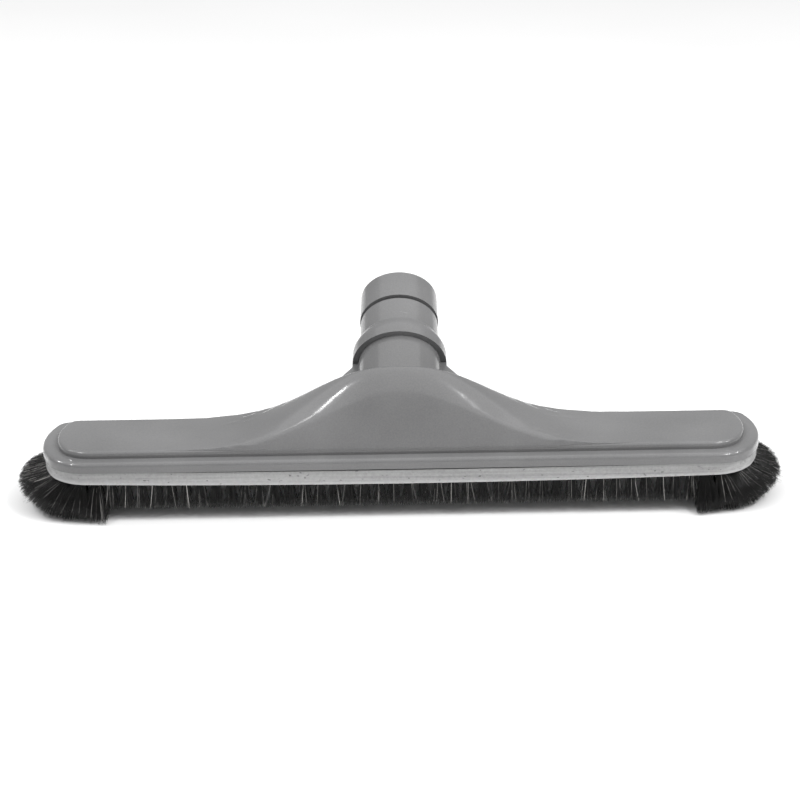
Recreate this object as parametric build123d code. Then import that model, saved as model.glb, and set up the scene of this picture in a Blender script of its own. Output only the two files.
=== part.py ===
from build123d import *
import math
import os

# Hard-floor brush head for a vacuum wand. Millimetres, +X along the brush, +Y towards the wand, +Z up.
# The parts are drawn with the floor at z = 0 under the middle of the brush. On export everything moves
# so that the origin is the centre of the wand socket, where its straight wall starts inside the mouth.

# Body outline, seen from above: a bar whose ends are three tangent arcs each
LENGTH = 356.0
DEPTH = 58.4
FRONT_R = 21.4  # front corner
TIP_R = 50.0  # outer face of the end
REAR_R = 8.0  # rear corner
TIP_Y = 4.8  # the widest place is this far behind the middle

# Heights above the floor
SEAM_Z = 25.7  # housing meets brush block
FLANGE_T = 5.1
FLANGE_ROUND = 2.2
PLATEAU_Z = 34.2
PLATEAU_INSET = 6.8
PLATEAU_SHORTER = 0.8  # its ends stand this much further in than its long sides
PLATEAU_ROUND = 2.0
WALL = 2.6
ABOVE_ALL = 200.0  # size of the boxes that trim parts to one side of a plane

# Hump: a bell-shaped ridge that carries the air up to the neck
HUMP_H = 34.6  # crest above the plateau
HUMP_SPREAD = 56.9
HUMP_POWER = 2.3
HUMP_SINK = 0.35  # how far the feet of the bell dip under the plateau's top
HUMP_REACH = 128.0  # half-length of the bell with its feet
HUMP_FRONT_SLOPE = math.tan(math.radians(65))
HUMP_REAR_SLOPE = 1.85
HUMP_CREST_Y = 1.45
HUMP_CREST_R = 19.4
HUMP_SOFTNESS = 12.0  # height over which the rear face turns into the crest
CREASE_SHARE = 0.62  # the flat front face ends in a crease at this share of the hump's height
CREASE_EDGE = 1.3  # half-width over which the crease is rounded
RIDGE_POWER = 1.8  # how quickly the ridge falls from its crest to the crease
SHORTEST_FACE = 2.2  # least run of the flat front face
HUMP_HALF = DEPTH / 2 - PLATEAU_INSET - 0.05
HUMP_SHOULDER = 72.0  # beyond this the hump's long edges draw in towards its feet
HUMP_DRAWN_IN = 1.9
HUMP_ROOT = 1.8  # how deep it is rooted in the plateau
HUMP_STEP = 8.0  # spacing of its sections along X
FACE_POINTS = 5
RIDGE_POINTS = 11
REAR_POINTS = 14
CAVITY_REACH = 90.0  # the hollow under the hump ends before the hump's thin feet
CAVITY_STEP = 10.0
CAVITY_LOWER = 0.4
CAVITY_NARROWER = 1.4
CAVITY_IN = 0.25  # extra wall on the steep faces

# Neck axis: leans back from the vertical, through a point on the mid plane
NECK_TILT = 25.0  # above the floor
NECK_Z = 39.0
STUB_R = 21.05
STUB_BORE_R = 17.0
DUCT_LOW = 12.0  # the air duct starts inside the hump's hollow
STUB_LOW = 14.0
STUB_END = 48.0
COLLAR_R = 23.85
COLLAR_LOW = 39.5
COLLAR_TOP = 53.0
COLLAR_STEP = 51.6  # inside shoulder that holds the socket's flange
# Rounded shoulder of the collar: distance in from its outside, distance below its top
SHOULDER = [(0.0, 8.4), (0.75, 5.1), (2.25, 2.2)]
COLLAR_LIP = 0.8  # flat top of the collar, outside the socket
RUNNING_GAP = 0.08
RING_S = 45.0  # middle of the retaining ring
RING_W = 1.5
RING_IN = 1.1  # how far the ring reaches into the stub and out into the collar
RING_OUT = 0.95
RING_SPLIT = 3.0
RING_SEAT_GAP = 0.05
RING_TURN_GAP = 0.12  # each side of the ring in the collar, where it runs
SEAL_T = 1.6
SEAL_OUT = 0.2  # the seal is this much smaller than the stub outside
SEAL_IN = 0.3  # and this much larger than its bore
SOCKET_R = 19.75
SOCKET_BORE_R = 16.1
SOCKET_STOP = 60.0
GROOVE_LOW = 68.1
GROOVE_TOP = 70.0
GROOVE_R = 18.0
BAND_R_LOW = 20.1
BAND_R_TOP = 19.6
BAND_ROUND = 0.6
GROOVE_EDGE = 0.3  # small chamfer below the groove
FLANGE_GAP = 0.06  # socket flange to seal
FLANGE_SIDE_GAP = 0.05  # socket flange to collar
SOCKET_FUNNEL = 1.4  # slope below the wand's stop
MOUTH = 87.8
LEAD_IN = 0.8  # chamfer inside the mouth
WEB_T = 3.6
WEB_GAP = 0.4  # clearance below the turning collar
WEB_SHOULDER = 36.5
WEB_FOOT = (42.0, 14.5)  # where the web's slope meets the hump: X, distance along the neck

# Brush block
BLOCK_INSET = 0.9
BLOCK_MID_Z = 17.4  # underside in the middle
BLOCK_END_Z = 19.9  # underside at the two ends
BLOCK_SAG = 0.9  # how far the top face bows away from the housing in the middle
BLOCK_ROUND = 0.7
SLOT_LENGTH = 276.0
SLOT_WIDTH = 17.0
SCREW_PLACES = [(155, 0), (-155, 0), (75, 14.6), (75, -14.6), (-75, 14.6), (-75, -14.6)]
SCREW_R = 1.75
SCREW_GRIP = 5.5  # thread length inside a boss
SCREW_BOTTOM_GAP = 0.4
PILOT_GAP = 0.03
SHANK_HOLE_GAP = 0.35
HEAD_R = 3.2
HEAD_H = 2.0
HEAD_GAP = 0.4  # around and below a sunk head
CROSS_LENGTH = 3.6
CROSS_WIDTH = 0.8
BOSS_R = 3.7
BOSS_TOP = 60.0  # bosses rise until they meet the hump or the plateau from inside

# Bristles: tufts in one row of drilled holes all the way round
TUFT_INSET = 5.6
TUFT_COUNT = 104
TUFT_HOLE_R = 2.3
TUFT_ROOT_R = 2.25
ROOT_LOW = 16.0  # the roots start well inside the ring of bristles
TUFT_HOLE_TOP = 24.2
STAPLE_T = 0.8
STAPLE_LENGTH = 3.8
STAPLE_WIDTH = 0.5
STAPLE_GAP = 0.05  # to the hole's closed end and to the roots
TRIM_TUFTS = 20  # the front row is cut short this many tufts each way from the middle
TRIM_Z = 4.8
SKIRT_INNER = 10.5  # inner face of the bristle ring, in from the body outline
ZONE_GAP = 0.2  # parting between neighbouring stretches of bristle
# Outer face of the bristle ring: height, spread at the ends, spread at front and rear
FLARE = [
    (0.0, 3.2, 1.2),
    (5.0, 8.0, 2.6),
    (10.0, 10.8, 3.2),
    (14.5, 9.6, 2.0),
    (18.4, 5.0, -1.2),
    (21.5, -2.0, -2.0),
]

NECK = Plane(
    origin=(0, 0, NECK_Z),
    x_dir=(1, 0, 0),
    z_dir=(0, math.cos(math.radians(NECK_TILT)), math.sin(math.radians(NECK_TILT))),
)
ORIGIN = NECK.origin + NECK.z_dir * (MOUTH - LEAD_IN)


def end_curve(inset, stretch):
    """The right-hand end of the body outline, from its front corner round to its rear one."""
    half = DEPTH / 2 - inset
    scale = half / (DEPTH / 2)
    tip_r = TIP_R * scale
    tip = (LENGTH / 2 - inset + stretch - tip_r, TIP_Y * scale)
    corners = []
    for side, radius in ((-1, FRONT_R * scale), (1, REAR_R * scale)):
        across = side * (half - radius) - tip[1]
        along = math.sqrt((tip_r - radius) ** 2 - across**2)
        touch = math.degrees(math.atan2(across, along))
        corners.append(((tip[0] + along, tip[1] + across), radius, touch))
    front, rear = corners
    curve = CenterArc(front[0], front[1], -90, front[2] + 90)
    curve += CenterArc(tip, tip_r, front[2], rear[2] - front[2])
    return curve + CenterArc(rear[0], rear[1], rear[2], 90 - rear[2])


def plan(inset, stretch=0.0):
    """The body outline drawn in by inset, with its ends stretched further out along X."""
    right = end_curve(inset, stretch)
    left = mirror(right, Plane.YZ)
    front = Line(left @ 0, right @ 0)
    rear = Line(right @ 1, left @ 1)
    return make_face(front + right + rear + left)


def prism(outline, low, high):
    return extrude(Pos(0, 0, low) * outline, high - low)


def column(x, y, low, high, radius):
    return Pos(x, y, (low + high) / 2) * Cylinder(radius, high - low)


def turned(points):
    """A ring turned about the neck axis, from points of (radius, distance along the axis)."""
    outline = make_face(Polyline(*[(r, 0, s) for r, s in points], close=True))
    return NECK.location * revolve(outline, Axis.Z)


def tube(low, high, outer, inner):
    return turned([(inner, low), (outer, low), (outer, high), (inner, high)])


def soft_min(a, b, reach):
    """The lower of a and b, with the corner between them rounded over reach."""
    if reach <= 0:
        return min(a, b)
    blend = max(reach - abs(a - b), 0) / reach
    return min(a, b) - reach * blend**2 / 4


def crest(x):
    """Height of the hump's ridge above the plateau."""
    return (HUMP_H + HUMP_SINK) * math.exp(-((abs(x) / HUMP_SPREAD) ** HUMP_POWER)) - HUMP_SINK


def front_height(y, half, height):
    """Height above the hump's foot at y: a flat face up to the crease, then the rounded ridge."""
    crease_y = CREASE_SHARE * height / HUMP_FRONT_SLOPE - half
    if y < crease_y:
        return HUMP_FRONT_SLOPE * (y + half)
    if y < HUMP_CREST_Y:
        share = (HUMP_CREST_Y - y) / (HUMP_CREST_Y - crease_y)
        return height * (1 - (1 - CREASE_SHARE) * share**RIDGE_POWER)
    return height * (1 - (y - HUMP_CREST_Y) ** 2 / (2 * HUMP_CREST_R * HUMP_H))


def evenly(low, high, count):
    return [low + (high - low) * i / (count - 1) for i in range(count)]


def hump_face(x, half, base, height):
    """Cross-section of the hump at x, with its points gathered either side of the crease."""
    reach = HUMP_SOFTNESS * (1 - math.exp(-max(height, 0) / HUMP_SOFTNESS))
    crease_y = max(CREASE_SHARE * height / HUMP_FRONT_SLOPE, SHORTEST_FACE) - half
    across = evenly(-half, crease_y - CREASE_EDGE, FACE_POINTS)
    across += evenly(crease_y + CREASE_EDGE, HUMP_CREST_Y, RIDGE_POINTS)
    across += evenly(HUMP_CREST_Y, half, REAR_POINTS)[1:]
    points = []
    for y in across:
        z = soft_min(front_height(y, half, height), HUMP_REAR_SLOPE * (half - y), reach)
        points.append((x, y, base + z))
    low = base - HUMP_ROOT
    sides = Polyline(points[-1], (x, half, low), (x, -half, low), points[0])
    return make_face(Spline(*points) + sides)


def hump(half, base, reach, step, lower=0.0, narrower=0.0, ruled=False):
    """The hump as a loft along X, with its front and rear edges drawn in towards its feet."""
    count = round(reach / step)
    faces = []
    for i in range(-count, count + 1):
        x = i * step
        fade = max(0.0, (abs(x) - HUMP_SHOULDER) / (HUMP_REACH - HUMP_SHOULDER))
        height = crest(abs(x) + narrower) - lower
        faces.append(hump_face(x, half - HUMP_DRAWN_IN * fade, base, height))
    return loft(faces, ruled=ruled)


def housing_outside():
    flange = prism(plan(0), SEAM_Z, SEAM_Z + FLANGE_T)
    flange = fillet(flange.faces().sort_by(Axis.Z)[-1].edges(), FLANGE_ROUND)
    plateau = prism(plan(PLATEAU_INSET, stretch=-PLATEAU_SHORTER), SEAM_Z + 1, PLATEAU_Z)
    plateau = fillet(plateau.faces().sort_by(Axis.Z)[-1].edges(), PLATEAU_ROUND)
    return flange + plateau + hump(HUMP_HALF, PLATEAU_Z, HUMP_REACH, HUMP_STEP)


def neck_webs():
    """Flat webs from the stub's sides down to the hump's shoulders, flush with the collar at the top."""
    top = COLLAR_LOW - WEB_GAP
    right = [(0, top), (COLLAR_R, top), (COLLAR_R, WEB_SHOULDER), WEB_FOOT, (0, DUCT_LOW)]
    left = [(-x, s) for x, s in reversed(right[1:-1])]
    outline = make_face(Polyline(*[(x, 0, s) for x, s in right + left], close=True))
    return NECK.location * extrude(outline, WEB_T / 2, both=True)


def housing():
    outside = housing_outside()
    above_seam = Pos(0, 0, SEAM_Z + ABOVE_ALL / 2) * Box(ABOVE_ALL, ABOVE_ALL, ABOVE_ALL)
    stub = tube(STUB_LOW, STUB_END, STUB_R, STUB_BORE_R - 1) & above_seam
    body = outside + stub + (neck_webs() & above_seam)
    roof = PLATEAU_Z - WALL
    cavity = prism(plan(PLATEAU_INSET + WALL), SEAM_Z - 1, roof)
    half = HUMP_HALF - WALL - CAVITY_IN
    cavity += hump(half, roof, CAVITY_REACH, CAVITY_STEP, CAVITY_LOWER, CAVITY_NARROWER, ruled=True)
    bore = [(0, DUCT_LOW), (STUB_BORE_R, DUCT_LOW), (STUB_BORE_R, STUB_END + 1), (0, STUB_END + 1)]
    duct = turned(bore)
    body -= cavity
    body -= duct
    for x, y in SCREW_PLACES:
        body += outside & column(x, y, SEAM_Z, SEAM_Z + BOSS_TOP, BOSS_R)
    for x, y in SCREW_PLACES:
        body -= column(x, y, SEAM_Z - 1, SEAM_Z + SCREW_GRIP + SCREW_BOTTOM_GAP, SCREW_R + PILOT_GAP)
    seat_half = RING_W / 2 + RING_SEAT_GAP
    seat = tube(RING_S - seat_half, RING_S + seat_half, STUB_R + 1, STUB_R - RING_IN - RING_SEAT_GAP)
    return body - seat


def retaining_ring():
    """Split spring ring in the stub's groove, standing out into the collar's groove."""
    ring = tube(RING_S - RING_W / 2, RING_S + RING_W / 2, STUB_R + RING_OUT, STUB_R - RING_IN)
    return ring - NECK.location * Pos(0, STUB_R, RING_S) * Box(RING_SPLIT, STUB_R, STUB_R)


def neck_seal():
    return tube(STUB_END, STUB_END + SEAL_T, STUB_R - SEAL_OUT, STUB_BORE_R + SEAL_IN)


def swivel_collar():
    """Cap nut: wide skirt over the stub, rounded shoulder, glued to the socket at its small end."""
    bore = STUB_R + RUNNING_GAP
    inner = [(SOCKET_R, COLLAR_TOP), (SOCKET_R, COLLAR_STEP), (bore, COLLAR_STEP), (bore, COLLAR_LOW)]
    rounding = [(COLLAR_R - inward, 0, COLLAR_TOP - below) for inward, below in SHOULDER]
    lip = (SOCKET_R + COLLAR_LIP, 0, COLLAR_TOP)
    outer_low = Polyline((bore, 0, COLLAR_LOW), (COLLAR_R, 0, COLLAR_LOW), rounding[0])
    shoulder = Spline(*rounding, lip, tangents=[(0, 0, 1), (-0.35, 0, 1)])
    top = Line(lip, (SOCKET_R, 0, COLLAR_TOP))
    bore_line = Polyline(*[(r, 0, s) for r, s in inner])
    solid = NECK.location * revolve(make_face(outer_low + shoulder + top + bore_line), Axis.Z)
    groove_half = RING_W / 2 + RING_TURN_GAP
    groove_r = STUB_R + RING_OUT + 0.1
    return solid - tube(RING_S - groove_half, RING_S + groove_half, groove_r, STUB_R - 1)


def wand_socket():
    """Socket tube with its trapped flange, the deep groove and the slightly tapered end band."""
    flange_low = STUB_END + SEAL_T + FLANGE_GAP
    flange_r = STUB_R - FLANGE_SIDE_GAP
    return turned(
        [
            (STUB_BORE_R, flange_low),
            (flange_r, flange_low),
            (flange_r, COLLAR_STEP),
            (SOCKET_R, COLLAR_STEP),
            (SOCKET_R, GROOVE_LOW - GROOVE_EDGE),
            (SOCKET_R - GROOVE_EDGE, GROOVE_LOW),
            (GROOVE_R, GROOVE_LOW),
            (GROOVE_R, GROOVE_TOP),
            (BAND_R_LOW, GROOVE_TOP),
            (BAND_R_TOP, MOUTH - BAND_ROUND),
            (BAND_R_TOP - BAND_ROUND, MOUTH),
            (SOCKET_BORE_R + LEAD_IN, MOUTH),
            (SOCKET_BORE_R, MOUTH - LEAD_IN),
            (SOCKET_BORE_R, SOCKET_STOP),
            (SOCKET_BORE_R - SOCKET_FUNNEL, SOCKET_STOP - SOCKET_FUNNEL),
        ]
    )


def block_blank():
    """The block without its holes: both long faces bow down in the middle."""
    end = LENGTH / 2
    top = ThreePointArc((-end, 0, SEAM_Z), (0, 0, SEAM_Z - BLOCK_SAG), (end, 0, SEAM_Z))
    bottom = ThreePointArc((end, 0, BLOCK_END_Z), (0, 0, BLOCK_MID_Z), (-end, 0, BLOCK_END_Z))
    right = Line((end, 0, SEAM_Z), (end, 0, BLOCK_END_Z))
    left = Line((-end, 0, BLOCK_END_Z), (-end, 0, SEAM_Z))
    slab = extrude(make_face(top + right + bottom + left), DEPTH, both=True)
    blank = slab & prism(plan(BLOCK_INSET), SEAM_Z - 20, SEAM_Z + 1)
    return fillet(blank.faces().sort_by(Axis.Z)[0].edges(), BLOCK_ROUND)


def block_underside(x):
    """Height of the block's underside at x."""
    sag = BLOCK_END_Z - BLOCK_MID_Z
    return BLOCK_MID_Z + sag * (2 * x / LENGTH) ** 2


def tuft_path():
    """The row of holes round the right-hand half of the brush, from the middle front to the middle rear."""
    end = end_curve(TUFT_INSET, 0)
    front = Line((0, (end @ 0).Y), end @ 0)
    rear = Line(end @ 1, (0, (end @ 1).Y))
    return Wire([*front.edges(), *end.edges(), *rear.edges()])


def tuft_ring(path):
    """Hole places as (x, y, direction of the row), evenly spaced and the same on both halves."""
    places = []
    for i in range(TUFT_COUNT // 2):
        share = (2 * i + 1) / TUFT_COUNT
        point = path @ share
        along = path % share
        turn = math.degrees(math.atan2(along.Y, along.X))
        places += [(point.X, point.Y, turn), (-point.X, point.Y, -turn)]
    return places


def brush_block(blank, places):
    """The block with its suction slot, sunk screw holes and blind tuft holes."""
    block = blank - prism(SlotOverall(SLOT_LENGTH, SLOT_WIDTH), 0, SEAM_Z + 1)
    for x, y in SCREW_PLACES:
        low = block_underside(x)
        block -= column(x, y, low - 1, SEAM_Z + 1, SCREW_R + SHANK_HOLE_GAP)
        block -= column(x, y, low - 1, low + HEAD_H + HEAD_GAP, HEAD_R + HEAD_GAP)
    holes = [column(x, y, 0, TUFT_HOLE_TOP, TUFT_HOLE_R) for x, y, _ in places]
    return block - holes


def block_screws():
    """Self-tapping screws with cross-slotted heads, sunk into the block."""
    screws = []
    for x, y in SCREW_PLACES:
        seat = block_underside(x) + HEAD_GAP + HEAD_H
        head = column(x, y, seat - HEAD_H, seat, HEAD_R)
        shank = column(x, y, seat - 0.1, SEAM_Z + SCREW_GRIP, SCREW_R)
        cross = Box(CROSS_LENGTH, CROSS_WIDTH, HEAD_H) + Box(CROSS_WIDTH, CROSS_LENGTH, HEAD_H)
        screws.append(head + shank - Pos(x, y, seat - HEAD_H) * cross)
    return Compound(screws)


def tuft_staples(places):
    """A flat wire staple across the closed end of each tuft hole."""
    middle = TUFT_HOLE_TOP - STAPLE_GAP - STAPLE_T / 2
    staple = Box(STAPLE_LENGTH, STAPLE_WIDTH, STAPLE_T)
    return Compound([Pos(x, y, middle) * Rot(0, 0, turn) * staple for x, y, turn in places])


def bristle_ring(blank):
    """The whole ring of bristles as one soft solid: it flares outwards and bulges at the two ends."""
    layers = []
    for height, at_ends, at_sides in FLARE:
        layers.append(Pos(0, 0, height) * plan(-at_sides, stretch=at_ends - at_sides))
    ring = loft([layer.face() for layer in layers])
    return ring - prism(plan(SKIRT_INNER), -1, SEAM_Z) - blank


def bristle_zone(ring, places, wanted):
    """The part of the ring inside a box, with a root in each tuft hole of that stretch."""
    zone = ring & wanted
    box = wanted.bounding_box()
    top = TUFT_HOLE_TOP - 2 * STAPLE_GAP - STAPLE_T
    for x, y, _ in places:
        if box.min.X < x < box.max.X and box.min.Y < y < box.max.Y:
            zone += column(x, y, ROOT_LOW, top, TUFT_ROOT_R)
    return zone


def zone_box(x_low, x_high, y_low, y_high, z_low):
    """Box over one stretch of the ring, up to the seam."""
    size = (x_high - x_low, y_high - y_low, SEAM_Z - z_low)
    return Pos((x_low + x_high) / 2, (y_low + y_high) / 2, (SEAM_Z + z_low) / 2) * Box(*size)


def save(name, shape):
    """Move one piece so that the wand socket's centre is the origin, and write it."""
    shape = Pos(-ORIGIN.X, -ORIGIN.Y, -ORIGIN.Z) * shape
    export_step(shape, f"parts/{name}.step")


def main():
    os.makedirs("parts", exist_ok=True)
    path = tuft_path()
    places = tuft_ring(path)
    blank = block_blank()
    ring = bristle_ring(blank)
    cut = TRIM_TUFTS * path.length / (TUFT_COUNT / 2)
    inside = cut - ZONE_GAP / 2
    outside = cut + ZONE_GAP / 2
    zones = {
        "bristles_front": zone_box(-inside, inside, -DEPTH, 0, TRIM_Z),
        "bristles_rear": zone_box(-inside, inside, 0, DEPTH, -1),
        "bristles_left": zone_box(-LENGTH, -outside, -DEPTH, DEPTH, -1),
        "bristles_right": zone_box(outside, LENGTH, -DEPTH, DEPTH, -1),
    }
    for name, wanted in zones.items():
        save(name, bristle_zone(ring, places, wanted))
    save("housing_shell", housing())
    save("brush_block", brush_block(blank, places))
    save("block_screws", block_screws())
    save("tuft_staples", tuft_staples(places))
    save("retaining_ring", retaining_ring())
    save("neck_seal", neck_seal())
    save("swivel_collar", swivel_collar())
    save("wand_socket", wand_socket())


main()
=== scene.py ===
import math

import bpy
import numpy as np
from mathutils import Matrix, Vector

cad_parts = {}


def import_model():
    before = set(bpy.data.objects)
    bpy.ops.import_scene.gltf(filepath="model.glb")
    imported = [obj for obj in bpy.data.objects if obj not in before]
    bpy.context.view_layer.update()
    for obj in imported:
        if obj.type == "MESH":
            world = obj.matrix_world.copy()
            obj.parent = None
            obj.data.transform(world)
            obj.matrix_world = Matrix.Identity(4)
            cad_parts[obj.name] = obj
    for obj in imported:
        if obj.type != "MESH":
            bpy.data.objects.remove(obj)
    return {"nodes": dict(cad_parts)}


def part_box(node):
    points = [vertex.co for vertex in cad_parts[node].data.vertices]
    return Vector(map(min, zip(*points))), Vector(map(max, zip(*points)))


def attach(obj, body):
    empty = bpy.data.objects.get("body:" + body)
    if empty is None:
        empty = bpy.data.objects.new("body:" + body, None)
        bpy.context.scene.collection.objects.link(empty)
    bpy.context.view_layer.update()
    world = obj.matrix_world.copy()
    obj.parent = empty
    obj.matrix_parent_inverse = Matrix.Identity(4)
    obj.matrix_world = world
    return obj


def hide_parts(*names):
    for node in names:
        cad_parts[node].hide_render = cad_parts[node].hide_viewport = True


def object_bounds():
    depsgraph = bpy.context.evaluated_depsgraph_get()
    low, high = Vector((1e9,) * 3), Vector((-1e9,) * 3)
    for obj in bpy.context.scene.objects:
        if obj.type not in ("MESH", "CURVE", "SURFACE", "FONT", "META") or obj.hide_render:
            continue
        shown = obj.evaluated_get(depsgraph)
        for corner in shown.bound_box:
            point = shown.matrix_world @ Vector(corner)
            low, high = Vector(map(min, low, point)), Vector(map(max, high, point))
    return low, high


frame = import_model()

# Hard-floor brush head for a vacuum wand. The body and its hairs are worked out in millimetres from
# the point on the floor under the middle of the brush block: x along the brush, y towards the wand,
# z up. The node materials, the floor, and the sizes and distances of the lights and the camera are in
# metres. Angles are in degrees.
MM = 0.001
CAD_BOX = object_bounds()
BLOCK_LOW, BLOCK_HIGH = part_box("brush_block")
HOUSING_LOW, HOUSING_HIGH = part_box("housing_shell")
FLOOR_Z = CAD_BOX[0].z
CENTRE = Vector((0, (BLOCK_LOW.y + BLOCK_HIGH.y) / 2, FLOOR_Z))
ORIGIN = np.array(CENTRE)

# Body outline in plan, as the housing has it. Each end is three arcs: front corner, tip, rear corner.
LENGTH = (HOUSING_HIGH.x - HOUSING_LOW.x) / MM
DEPTH = 2 * (CENTRE.y - HOUSING_LOW.y) / MM
FRONT_R, TIP_R, REAR_R = 21.4, 50.0, 8.0
TIP_Y = 4.8  # the tip arc is centred this far behind the middle
BLOCK_MID_Z = (BLOCK_LOW.z - FLOOR_Z) / MM
BLOCK_SAG = 2.5  # the underside is this much higher at the two ends

# Tufts, numbered on each half from the middle of the front round to the middle of the rear
TUFT_INSET = 5.6  # the row of holes lies this far inside the outline
TUFTS_PER_HALF = 52
TRIM_TUFTS = 20
REAR_FIRST = TUFTS_PER_HALF - TRIM_TUFTS
FRONT_HAIRS, REAR_HAIRS, END_HAIRS = 190, 150, 560  # in each tuft
TRIM_Z = 4.8  # the trimmed front row's solid ends this high
FRONT_LOW, REAR_LOW = TRIM_Z + 0.9, 0.1  # the longest hairs of the two long rows end here
TRIM_JITTER = (0.25, 0.75)  # how uneven the cut is, from tuft to tuft
FRONT_SEED, REAR_SEED, END_SEED = 11, 13, 15

# One hair
ROOT_R = 2.0  # about how far the roots reach from the middle of their hole
ROOT_DEPTH = 1.5  # the roots start this far up in the hole
ROOT_INNER, ROOT_SPREAD, ROOT_WIDTH = 0.85, 1.7, 1.5  # shares of ROOT_R, in the end tufts
TIP_LOWEST = 0.02
HAIR_RINGS, HAIR_SIDES = 5, 3
HAIR_THINNEST, HAIR_THICKEST = 0.08, 0.13  # radius at the root
TIP_TAPER = 0.45  # a tip's radius as a share of the root's
TIP_SCATTER = 0.45
STRAY_SHARE = 0.03
STRAY_LONGER, OTHERS_SHORTER = 0.05, 0.02  # typical shares of the length
NO_HAIR_RUNS_THIS_WAY = (0.3, 0.8, 0.52)

# Shares of light hairs: the outside of a tuft has more of them
OUTSIDE_LEVEL = 0.88
GREY_OUTSIDE, GREY_INSIDE = 0.085, 0.010  # grey and white together
WHITE_OUTSIDE, WHITE_INSIDE = 0.010, 0.0004
TONE_WIDTHS = (1.0, 1.2, 1.6)  # black, grey, white

# The fan at the ends of the ring, by the level of a hair in its tuft: how far its tip stands out from
# the outline at the very end and on the long sides, and its tip's height above the floor
FAN_FROM = 142.0  # the hairs start to lean out towards the end here
FAN_LEVELS = (0.0, 0.30, 0.50, 0.68, 0.86, 1.0)
FAN_AT_ENDS = (-9.5, 2.6, 8.6, 13.2, 12.8, 8.0)
FAN_AT_SIDES = (-9.5, 1.2, 2.6, 3.2, 2.0, -0.6)
FAN_HEIGHTS = (0.0, 0.0, 4.6, 9.8, 14.2, 17.6)
RIGHT_END_CLOSER = 2.6  # the right-hand end flares this much less
FRONT_SPREAD = (-9.5, 4.6)  # where the fan hasn't started: at the inner face and at the outer one
FAN_OVERLAP = 1.25  # the tips of one tuft cover this many tufts' share of the outline
LAST_SHARE = 0.9999  # just short of the middle of the rear
BEND_FIRST, BEND_LAST = 0.30, 0.40  # a hair's middle point is this share of the way out
BEND_START, BEND_DROP = 0.8, 0.36  # it drops this share of the way from just below the block
BEND_SIDEWAYS = 0.3
FLOOR_TIPS = 0.6  # tips that would reach the floor end up to this far above it

# The long rows: roots fill this share of ROOT_R, and tips lean out, spread and cross this much
ROW_ROOTS = 0.8
ROW_LEAN, ROW_SPREAD = 0.8, 1.6
ROW_CROSSING, ROW_SCATTER = 1.9, 0.8

# Lights: name, azimuth (0 in front, 90 to the right), elevation, distance, width, height, power.
# The small boxes make the bright spots on the rounded edges.
LIGHTS = (
    ("ceiling", 0, 90, 2.6, 5.0, 5.0, 58),
    ("key_left_high", -82, 61, 1.6, 0.07, 0.07, 3),
    ("key_left_low", -70, 52, 1.6, 0.07, 0.07, 3),
    ("key_left_side", -106, 41, 1.6, 0.10, 0.10, 5.5),
    ("key_right", 50, 47, 1.5, 0.30, 0.10, 4.5),
    ("key_right_high", 70, 58, 1.5, 0.07, 0.07, 4.5),
    ("key_right_side", 82, 40, 1.5, 0.12, 0.07, 5),
)
LIGHT_AIM = (0, 0, 45)
WORLD_STRENGTH = 0.42
FLOOR_HALF_WIDTH, FLOOR_GAP = 9.0, 0.0002

CAMERA_AIM = (0.17, 0, 50.37)
CAMERA_ELEVATION, CAMERA_AZIMUTH, CAMERA_ROLL = 21.0, 0.45, 1.12
CAMERA_DISTANCE = 1.2
CAMERA_LENS = 109.43


def at(x, y, z):
    """A place in metres, from millimetres about the point on the floor under the middle."""
    return CENTRE + Vector((x, y, z)) * MM


# ---------------------------------------------------------------- materials


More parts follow.
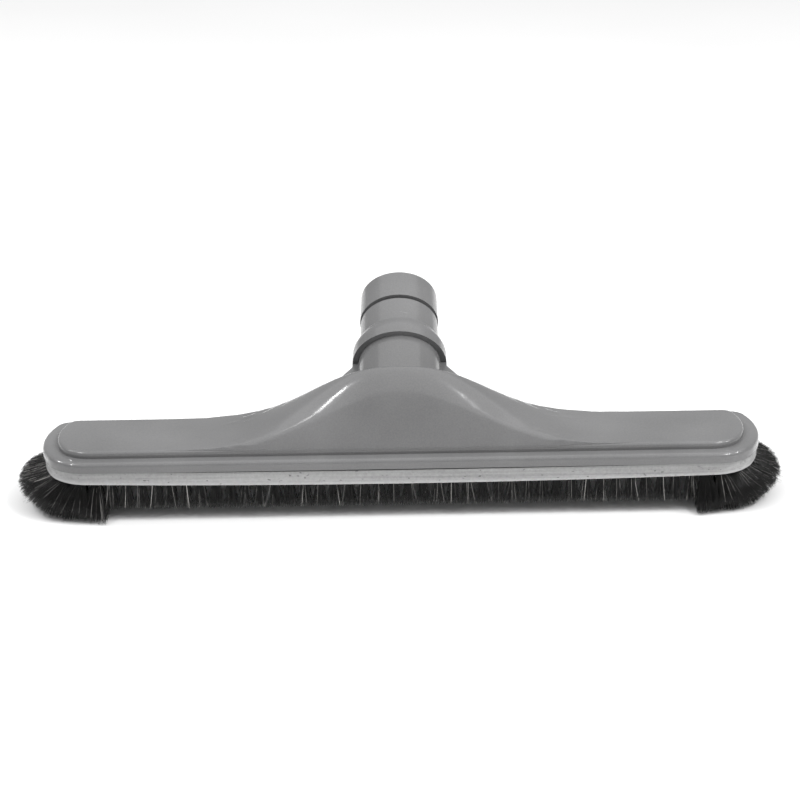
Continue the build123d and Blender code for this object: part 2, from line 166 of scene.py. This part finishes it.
class Nodes:
    """Short calls for building one node material."""

    def __init__(self, name):
        self.material = bpy.data.materials.new(name)
        self.material.use_nodes = True
        self.tree = self.material.node_tree
        self.shader = self.tree.nodes["Principled BSDF"]
        self.where = self.tree.nodes.new("ShaderNodeTexCoord").outputs["Object"]

    def link(self, a, b):
        self.tree.links.new(a, b)

    def stretched(self, scale):
        """The object's coordinates with each axis scaled: below 1 draws a pattern out along it."""
        node = self.tree.nodes.new("ShaderNodeMapping")
        node.inputs["Scale"].default_value = scale
        self.link(self.where, node.inputs["Vector"])
        return node.outputs["Vector"]

    def noise(self, scale, detail=3.0, rough=0.5, vector=None):
        node = self.tree.nodes.new("ShaderNodeTexNoise")
        node.inputs["Scale"].default_value = scale
        node.inputs["Detail"].default_value = detail
        node.inputs["Roughness"].default_value = rough
        self.link(vector or self.where, node.inputs["Vector"])
        return node.outputs["Fac"]

    def spread(self, value, low, high, to_low, to_high):
        """The stretch from low to high, mapped onto the stretch from to_low to to_high."""
        node = self.tree.nodes.new("ShaderNodeMapRange")
        ends = {"From Min": low, "From Max": high, "To Min": to_low, "To Max": to_high}
        for key, number in ends.items():
            node.inputs[key].default_value = number
        self.link(value, node.inputs["Value"])
        return node.outputs["Result"]

    def maths(self, kind, a, b):
        node = self.tree.nodes.new("ShaderNodeMath")
        node.operation = kind
        for socket, value in zip(node.inputs, (a, b)):
            if isinstance(value, (int, float)):
                socket.default_value = value
            else:
                self.link(value, socket)
        return node.outputs[0]

    def ramp(self, value, stops):
        """Colour by value. A stop is a place and a grey or a colour."""
        node = self.tree.nodes.new("ShaderNodeValToRGB")
        elements = node.color_ramp.elements
        while len(elements) < len(stops):
            elements.new(0.5)
        for element, (place, grey) in zip(elements, stops):
            element.position = place
            element.color = (*grey, 1) if isinstance(grey, tuple) else (grey, grey, grey, 1)
        self.link(value, node.inputs["Fac"])
        return node.outputs["Color"]

    def mix(self, fac, a, b):
        node = self.tree.nodes.new("ShaderNodeMix")
        node.data_type = "RGBA"
        self.link(fac, node.inputs[0])
        for socket, value in ((node.inputs[6], a), (node.inputs[7], b)):
            if isinstance(value, tuple):
                socket.default_value = (*value, 1)
            else:
                self.link(value, socket)
        return node.outputs[2]

    def bump(self, height, strength, distance, before=None):
        node = self.tree.nodes.new("ShaderNodeBump")
        node.inputs["Strength"].default_value = strength
        node.inputs["Distance"].default_value = distance
        self.link(height, node.inputs["Height"])
        if before:
            self.link(before, node.inputs["Normal"])
        return node.outputs["Normal"]


def moulded_plastic(name, grey, rough, tone):
    """Satin grey plastic: fine mottle, faint cloudy tone, tiny moulding ripple and a few scuffs."""
    n = Nodes(name)
    cloud = n.noise(22, detail=2)
    grain = n.noise(1500, detail=2, rough=0.6)
    mottle = n.maths("ADD", n.maths("MULTIPLY", cloud, 0.55), n.maths("MULTIPLY", grain, 0.45))
    low, high = grey * (1 - tone), grey * (1 + tone)
    colour = n.ramp(mottle, [(0.32, (low, low, low * 1.01)), (0.68, (high, high, high * 1.01))])
    scuff = n.noise(60, detail=5, rough=0.75, vector=n.stretched((0.35, 1.6, 1.6)))
    marks = n.spread(scuff, 0.66, 0.74, 0, 1)
    pale = grey * 1.22
    worn = n.mix(n.maths("MULTIPLY", marks, 0.30), colour, (pale, pale, pale))
    n.link(worn, n.shader.inputs["Base Color"])
    even = n.spread(cloud, 0.3, 0.7, rough - 0.03, rough + 0.03)
    n.link(n.maths("ADD", even, n.maths("MULTIPLY", marks, 0.12)), n.shader.inputs["Roughness"])
    ripple = n.bump(n.noise(260, detail=1), 0.05, 0.0004)
    n.link(n.bump(grain, 0.06, 0.0001, ripple), n.shader.inputs["Normal"])
    n.shader.inputs["Specular IOR Level"].default_value = 0.5
    return n.material


def block_plastic():
    """Pale machined bar: lengthwise tool streaks, pits and specks, and a lighter band along the lower
    edge.
    """
    n = Nodes("block_pale_machined")
    streak = n.noise(300, detail=5, rough=0.75, vector=n.stretched((0.03, 1, 2.4)))
    broad = n.noise(30, detail=2, vector=n.stretched((0.25, 1, 3)))
    speck = n.noise(900, detail=2, rough=0.65)
    tone = n.maths("ADD", n.maths("MULTIPLY", streak, 0.55), n.maths("MULTIPLY", broad, 0.2))
    tone = n.maths("ADD", tone, n.maths("MULTIPLY", speck, 0.25))
    colour = n.ramp(tone, [(0.36, 0.23), (0.5, 0.33), (0.64, 0.43)])
    split = n.tree.nodes.new("ShaderNodeSeparateXYZ")
    n.link(n.where, split.inputs[0])
    along, up = split.outputs["X"], split.outputs["Z"]
    # A narrow band along the lower edge is coloured lighter; it follows the arched underside.
    arch_share = BLOCK_SAG * MM / (LENGTH / 2 * MM) ** 2
    arch = n.maths("MULTIPLY", n.maths("MULTIPLY", along, along), arch_share)
    above = n.maths("SUBTRACT", n.maths("SUBTRACT", up, arch), BLOCK_LOW.z)
    edge = n.spread(n.maths("ADD", above, n.maths("MULTIPLY", streak, 0.0012)), 0.0014, 0.0026, 1, 0)
    colour = n.mix(n.maths("MULTIPLY", edge, 0.65), colour, (0.50, 0.50, 0.50))
    pits = n.spread(n.noise(800, detail=1, vector=n.stretched((0.5, 1, 1))), 0.70, 0.76, 0, 1)
    pitted = n.mix(n.maths("MULTIPLY", pits, 0.7), colour, (0.07, 0.07, 0.07))
    n.link(pitted, n.shader.inputs["Base Color"])
    n.link(n.spread(streak, 0.3, 0.7, 0.38, 0.60), n.shader.inputs["Roughness"])
    coarse = n.bump(streak, 0.10, 0.0002)
    n.link(n.bump(speck, 0.10, 0.0001, coarse), n.shader.inputs["Normal"])
    return n.material


def hair(name, low, high, rough):
    """Glossy horsehair: tone drifts from hair to hair and along each one."""
    n = Nodes(name)
    drift = n.noise(700, detail=2, vector=n.stretched((1, 1, 0.12)))
    fine = n.noise(2500, detail=1, vector=n.stretched((1, 1, 0.3)))
    tone = n.maths("ADD", n.maths("MULTIPLY", drift, 0.7), n.maths("MULTIPLY", fine, 0.3))
    brown = (low * 1.03, low, low * 0.97), (high * 1.03, high, high * 0.97)
    n.link(n.ramp(tone, [(0.35, brown[0]), (0.65, brown[1])]), n.shader.inputs["Base Color"])
    n.link(n.spread(drift, 0.3, 0.7, rough - 0.08, rough + 0.1), n.shader.inputs["Roughness"])
    n.link(n.bump(fine, 0.1, 0.0001), n.shader.inputs["Normal"])
    return n.material


def steel(name, grey, rough):
    """Plated or bare spring steel with fine drawn lines and dull patches."""
    n = Nodes(name)
    lines = n.noise(1800, detail=3, vector=n.stretched((0.15, 0.15, 1)))
    patch = n.noise(140, detail=3)
    tone = n.maths("ADD", n.maths("MULTIPLY", lines, 0.5), n.maths("MULTIPLY", patch, 0.5))
    n.link(n.ramp(tone, [(0.3, grey * 0.75), (0.7, grey * 1.15)]), n.shader.inputs["Base Color"])
    n.link(n.spread(patch, 0.3, 0.7, rough, rough + 0.2), n.shader.inputs["Roughness"])
    n.link(n.bump(lines, 0.15, 0.0001), n.shader.inputs["Normal"])
    n.shader.inputs["Metallic"].default_value = 1.0
    return n.material


def rubber():
    """Dull black rubber with a fine uneven surface."""
    n = Nodes("seal_black_rubber")
    fine = n.noise(1600, detail=3)
    n.link(n.ramp(fine, [(0.3, 0.012), (0.7, 0.028)]), n.shader.inputs["Base Color"])
    n.link(n.spread(fine, 0.3, 0.7, 0.6, 0.8), n.shader.inputs["Roughness"])
    n.link(n.bump(fine, 0.2, 0.0001), n.shader.inputs["Normal"])
    return n.material


def dress(node, material):
    """Give a CAD node its finished material."""
    mesh = frame["nodes"][node].data
    mesh.materials.clear()
    mesh.materials.append(material)


# ---------------------------------------------------------------- bristles


def end_arcs(inset):
    """The three tangent arcs of the right-hand end: (centre, radius, start angle, end angle)."""
    half = DEPTH / 2 - inset
    scale = half / (DEPTH / 2)
    tip_r = TIP_R * scale
    tip = np.array((LENGTH / 2 - inset - tip_r, TIP_Y * scale))
    corners = []
    for side, radius in ((-1, FRONT_R * scale), (1, REAR_R * scale)):
        across = side * (half - radius) - tip[1]
        along = math.sqrt((tip_r - radius) ** 2 - across**2)
        corners.append((tip + (along, across), radius, math.atan2(across, along)))
    front, rear = corners
    quarter = math.pi / 2
    return [
        (front[0], front[1], -quarter, front[2]),
        (tip, tip_r, front[2], rear[2]),
        (rear[0], rear[1], rear[2], quarter),
    ]


def walk(share):
    """Place and outward direction on the row of holes, at a share of the right half's length."""
    half = DEPTH / 2 - TUFT_INSET
    arcs = end_arcs(TUFT_INSET)
    straight = arcs[0][0][0], arcs[2][0][0]
    lengths = [straight[0]] + [r * (b - a) for _, r, a, b in arcs] + [straight[1]]
    left = share * sum(lengths)
    if left < lengths[0]:
        return np.array((left, -half)), np.array((0.0, -1.0))
    left -= lengths[0]
    for (centre, radius, start, _), length in zip(arcs, lengths[1:4]):
        if left < length:
            turn = start + left / radius
            out = np.array((math.cos(turn), math.sin(turn)))
            return centre + radius * out, out
        left -= length
    return np.array((straight[1] - left, half)), np.array((0.0, 1.0))


def tufts():
    """(place, outward direction, number from the middle front, half: 1 right or -1 left)."""
    found = []
    for i in range(TUFTS_PER_HALF):
        place, out = walk((i + 0.5) / TUFTS_PER_HALF)
        found.append((place, out, i, 1))
        found.append((place * (-1, 1), out * (-1, 1), i, -1))
    return found


def underside(x):
    """Height of the block's underside above the floor."""
    return BLOCK_MID_Z + BLOCK_SAG * (2 * x / LENGTH) ** 2


def hair_mesh(name, roots, mids, tips, widths, tones, materials):
    """Many thin three-sided tapering hairs, each bent through its middle point, as one mesh."""
    count, rings, sides = len(roots), HAIR_RINGS, HAIR_SIDES
    t = np.linspace(0, 1, rings)[None, :, None]
    line = (1 - t) ** 2 * roots[:, None] + 2 * t * (1 - t) * mids[:, None] + t**2 * tips[:, None]
    along = np.gradient(line, axis=1)
    along /= np.linalg.norm(along, axis=2, keepdims=True)
    side = np.cross(along, np.array(NO_HAIR_RUNS_THIS_WAY))
    side /= np.linalg.norm(side, axis=2, keepdims=True)
    other = np.cross(along, side)
    taper = np.linspace(1, TIP_TAPER, rings)[None, :, None]
    points = []
    for k in range(sides):
        turn = 2 * math.pi * k / sides
        out = side * math.cos(turn) + other * math.sin(turn)
        points.append(line + out * taper * widths[:, None, None])
    verts = np.stack(points, axis=2).reshape(-1, 3) * MM + ORIGIN
    quads = []
    for r in range(rings - 1):
        for k in range(sides):
            a, b = r * sides + k, r * sides + (k + 1) % sides
            quads.append((a, b, b + sides, a + sides))
    base = (np.arange(count) * rings * sides)[:, None, None]
    faces = (base + np.array(quads)[None]).reshape(-1, 4)
    last = (rings - 1) * sides
    caps = (base[:, 0] + np.array((last, last + 1, last + 2))[None]).reshape(-1, 3)
    mesh = bpy.data.meshes.new(name)
    mesh.vertices.add(len(verts))
    mesh.vertices.foreach_set("co", verts.astype(np.float32).ravel())
    mesh.loops.add(len(faces) * 4 + len(caps) * 3)
    corners = np.concatenate((faces.ravel(), caps.ravel()))
    mesh.loops.foreach_set("vertex_index", corners.astype(np.int32))
    mesh.polygons.add(len(faces) + len(caps))
    starts = np.concatenate((np.arange(len(faces)) * 4, len(faces) * 4 + np.arange(len(caps)) * 3))
    mesh.polygons.foreach_set("loop_start", starts.astype(np.int32))
    for material in materials:
        mesh.materials.append(material)
    slots = np.concatenate((np.repeat(tones, len(quads)), tones)).astype(np.int32)
    mesh.polygons.foreach_set("material_index", slots)
    mesh.update(calc_edges=True)
    mesh.shade_smooth()
    piece = bpy.data.objects.new(name, mesh)
    bpy.context.scene.collection.objects.link(piece)
    return piece


def end_share(x):
    """How far round towards the tip a place on the row is: 0 on the long sides, 1 at the very end."""
    t = min(max((abs(x) - FAN_FROM) / (LENGTH / 2 - TUFT_INSET - FAN_FROM), 0), 1)
    return t * t * (3 - 2 * t)


def fan_tip(place, out, level, share):
    """Where a hair ends. Level runs from the ring's inner face (0) to its highest outer hairs (1)."""
    spread_end = np.interp(level, FAN_LEVELS, FAN_AT_ENDS)
    if place[0] > 0:
        spread_end -= RIGHT_END_CLOSER * level
    spread_side = np.interp(level, FAN_LEVELS, FAN_AT_SIDES)
    height = np.interp(level, FAN_LEVELS, FAN_HEIGHTS) * share
    spread_side = spread_side * share + np.interp(level, (0, 1), FRONT_SPREAD) * (1 - share)
    tip = place + out * (TUFT_INSET + spread_side)
    tip = tip + np.array((math.copysign(1, place[0]), 0)) * (spread_end - spread_side) * share
    return tip, height


def hair_tone(rng, level):
    """0 black, 1 grey, 2 white. The odd light hairs show mostly on the outside of a tuft."""
    outside = level > OUTSIDE_LEVEL
    drawn = rng.uniform(0, 1)
    if drawn < (WHITE_OUTSIDE if outside else WHITE_INSIDE):
        return 2
    return 1 if drawn < (GREY_OUTSIDE if outside else GREY_INSIDE) else 0


def end_hair(rng, middle, number, side):
    """One hair of an end tuft. Roots stay in the hole, tips lie evenly on the fan's outside."""
    along = rng.uniform(-0.5, 0.5)
    level = rng.uniform(0, 1)
    tone = hair_tone(rng, level)
    row_share = (number + 0.5 + along * FAN_OVERLAP) / TUFTS_PER_HALF
    place, out = walk(min(max(row_share, 0), LAST_SHARE))
    place, out = place * (side, 1), out * (side, 1)
    share = end_share(place[0])
    tip, height = fan_tip(place, out, level, share)
    tip = tip + rng.normal(0, TIP_SCATTER, 2)
    across = np.array((-out[1], out[0])) * side
    outward_share = ROOT_SPREAD * level - ROOT_INNER
    root = middle + out * ROOT_R * outward_share + across * ROOT_R * ROOT_WIDTH * along
    top = underside(middle[0])
    root_z = top + ROOT_DEPTH
    tip_z = max(height + rng.normal(0, TIP_SCATTER), rng.uniform(TIP_LOWEST, FLOOR_TIPS))
    stray = rng.uniform(0, 1) < STRAY_SHARE
    cut = 1 + abs(rng.normal(0, STRAY_LONGER)) if stray else 1 - abs(rng.normal(0, OTHERS_SHORTER))
    tip = root + (tip - root) * cut
    tip_z = root_z + (tip_z - root_z) * cut
    mid = root + (tip - root) * rng.uniform(BEND_FIRST, BEND_LAST)
    mid = mid + across * ((tip - root) @ across) * BEND_SIDEWAYS
    start_z = top - BEND_START
    mid_z = start_z - (start_z - tip_z) * BEND_DROP
    return (*root, root_z), (*mid, mid_z), (*tip, max(tip_z, TIP_LOWEST)), tone


def straight_hair(rng, middle, out, low, jitter):
    """One hair of the long rows: nearly straight down, cut off at the given height or just above."""
    across = np.array((-out[1], out[0]))
    along = rng.uniform(-1, 1)
    level = rng.uniform(-1, 1)
    tone = hair_tone(rng, (level + 1) / 2)
    root = middle + out * ROOT_R * ROW_ROOTS * level + across * ROOT_R * ROW_ROOTS * along
    crossing = ROW_CROSSING * along + rng.normal(0, ROW_SCATTER)
    tip = root + out * (ROW_LEAN + ROW_SPREAD * level) + across * crossing
    top = underside(middle[0])
    tip_z = max(low + abs(rng.normal(0, jitter)), TIP_LOWEST)
    mid = root + (tip - root) * 0.4
    return (*root, top + ROOT_DEPTH), (*mid, (top + tip_z) / 2), (*tip, tip_z), tone


def bristles(name, first, last, side, seed, per_tuft, zone, low=None):
    """One stretch of the ring, from its first tuft up to its last, on one side of the middle.

    Hairs of a long row are cut off at the height low. Hairs of an end have no low, and fan out.
    """
    rng = np.random.default_rng(seed)
    hairs = []
    for place, out, number, half in tufts():
        if half != side or not first <= number < last:
            continue
        jitter = rng.uniform(*TRIM_JITTER)
        for _ in range(per_tuft):
            if low is None:
                hairs.append(end_hair(rng, place, number, side))
            else:
                hairs.append(straight_hair(rng, place, out, low, jitter))
    roots, mids, tips = (np.array([h[k] for h in hairs]) for k in range(3))
    tones = np.array([h[3] for h in hairs])
    thickness = rng.uniform(HAIR_THINNEST, HAIR_THICKEST, len(hairs))
    widths = thickness * np.array(TONE_WIDTHS)[tones]
    piece = hair_mesh(name, roots, mids, tips, widths, tones, (BLACK_HAIR, GREY_HAIR, WHITE_HAIR))
    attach(piece, "head")
    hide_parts(zone)


# ---------------------------------------------------------------- the object

HOUSING = moulded_plastic("housing_satin_grey", 0.163, 0.17, 0.14)
NECK = moulded_plastic("neck_satin_grey", 0.166, 0.22, 0.14)
BLACK_HAIR = hair("hair_black", 0.002, 0.007, 0.38)
GREY_HAIR = hair("hair_grey", 0.13, 0.45, 0.45)
WHITE_HAIR = hair("hair_white", 0.60, 0.80, 0.5)

dress("housing_shell", HOUSING)
dress("swivel_collar", NECK)
dress("wand_socket", NECK)
dress("brush_block", block_plastic())
dress("block_screws", steel("screw_zinc", 0.55, 0.3))
dress("tuft_staples", steel("staple_wire", 0.5, 0.35))
dress("retaining_ring", steel("spring_steel", 0.38, 0.35))
dress("neck_seal", rubber())

for number, (word, side) in enumerate((("left", -1), ("right", 1))):
    front = "front_hairs_" + word, 0, TRIM_TUFTS, side, FRONT_SEED + number
    rear = "rear_hairs_" + word, REAR_FIRST, TUFTS_PER_HALF, side, REAR_SEED + number
    end = "end_hairs_" + word, TRIM_TUFTS, REAR_FIRST, side, END_SEED + number
    bristles(*front, FRONT_HAIRS, "bristles_front", low=FRONT_LOW)
    bristles(*rear, REAR_HAIRS, "bristles_rear", low=REAR_LOW)
    bristles(*end, END_HAIRS, "bristles_" + word)


# ---------------------------------------------------------------- stage, light, camera


def floor():
    """A wide sheet of pale paper, just under the hair tips."""
    size = FLOOR_HALF_WIDTH
    mesh = bpy.data.meshes.new("studio_floor")
    corners = [(-size, -size, 0), (size, -size, 0), (size, size, 0), (-size, size, 0)]
    mesh.from_pydata(corners, [], [(0, 1, 2, 3)])
    piece = bpy.data.objects.new("studio_floor", mesh)
    piece.location = (0, CENTRE.y, FLOOR_Z - FLOOR_GAP)
    bpy.context.scene.collection.objects.link(piece)
    n = Nodes("studio_floor_paper")
    n.link(n.ramp(n.noise(3, detail=2), [(0.3, 0.88), (0.7, 0.91)]), n.shader.inputs["Base Color"])
    n.shader.inputs["Roughness"].default_value = 0.9
    n.shader.inputs["Specular IOR Level"].default_value = 0.1
    mesh.materials.append(n.material)


def outward(azimuth, elevation):
    """Direction from the brush: azimuth 0 is in front and 90 to the right. Both in degrees."""
    a, e = math.radians(azimuth), math.radians(elevation)
    return Vector((math.sin(a) * math.cos(e), -math.cos(a) * math.cos(e), math.sin(e)))


def area_light(name, azimuth, elevation, distance, width, height, power):
    """A soft box that shines at the middle of the brush from that direction."""
    light = bpy.data.lights.new(name, "AREA")
    light.shape = "RECTANGLE"
    light.size, light.size_y, light.energy = width, height, power
    piece = bpy.data.objects.new(name, light)
    away = outward(azimuth, elevation)
    piece.location = at(*LIGHT_AIM) + away * distance
    piece.rotation_euler = away.to_track_quat("Z", "Y").to_euler()
    bpy.context.scene.collection.objects.link(piece)


def world(strength):
    """Even white light from all round."""
    studio = bpy.data.worlds.new("studio")
    studio.use_nodes = True
    background = studio.node_tree.nodes["Background"]
    background.inputs["Color"].default_value = (1, 1, 1, 1)
    background.inputs["Strength"].default_value = strength
    bpy.context.scene.world = studio


def camera():
    """The camera in front of the brush and above it, turned a little about its own axis."""
    data = bpy.data.cameras.new("photo_view")
    data.sensor_width = 36.0
    data.lens = CAMERA_LENS
    piece = bpy.data.objects.new("photo_view", data)
    away = outward(CAMERA_AZIMUTH, CAMERA_ELEVATION)
    roll = Matrix.Rotation(-math.radians(CAMERA_ROLL), 3, "Z")
    turn = away.to_track_quat("Z", "Y").to_matrix() @ roll
    place = at(*CAMERA_AIM) + away * CAMERA_DISTANCE
    piece.matrix_world = Matrix.Translation(place) @ turn.to_4x4()
    bpy.context.scene.collection.objects.link(piece)
    bpy.context.scene.camera = piece


floor()
world(WORLD_STRENGTH)
for light in LIGHTS:
    area_light(*light)
camera()
bpy.context.scene.view_settings.view_transform = "Standard"
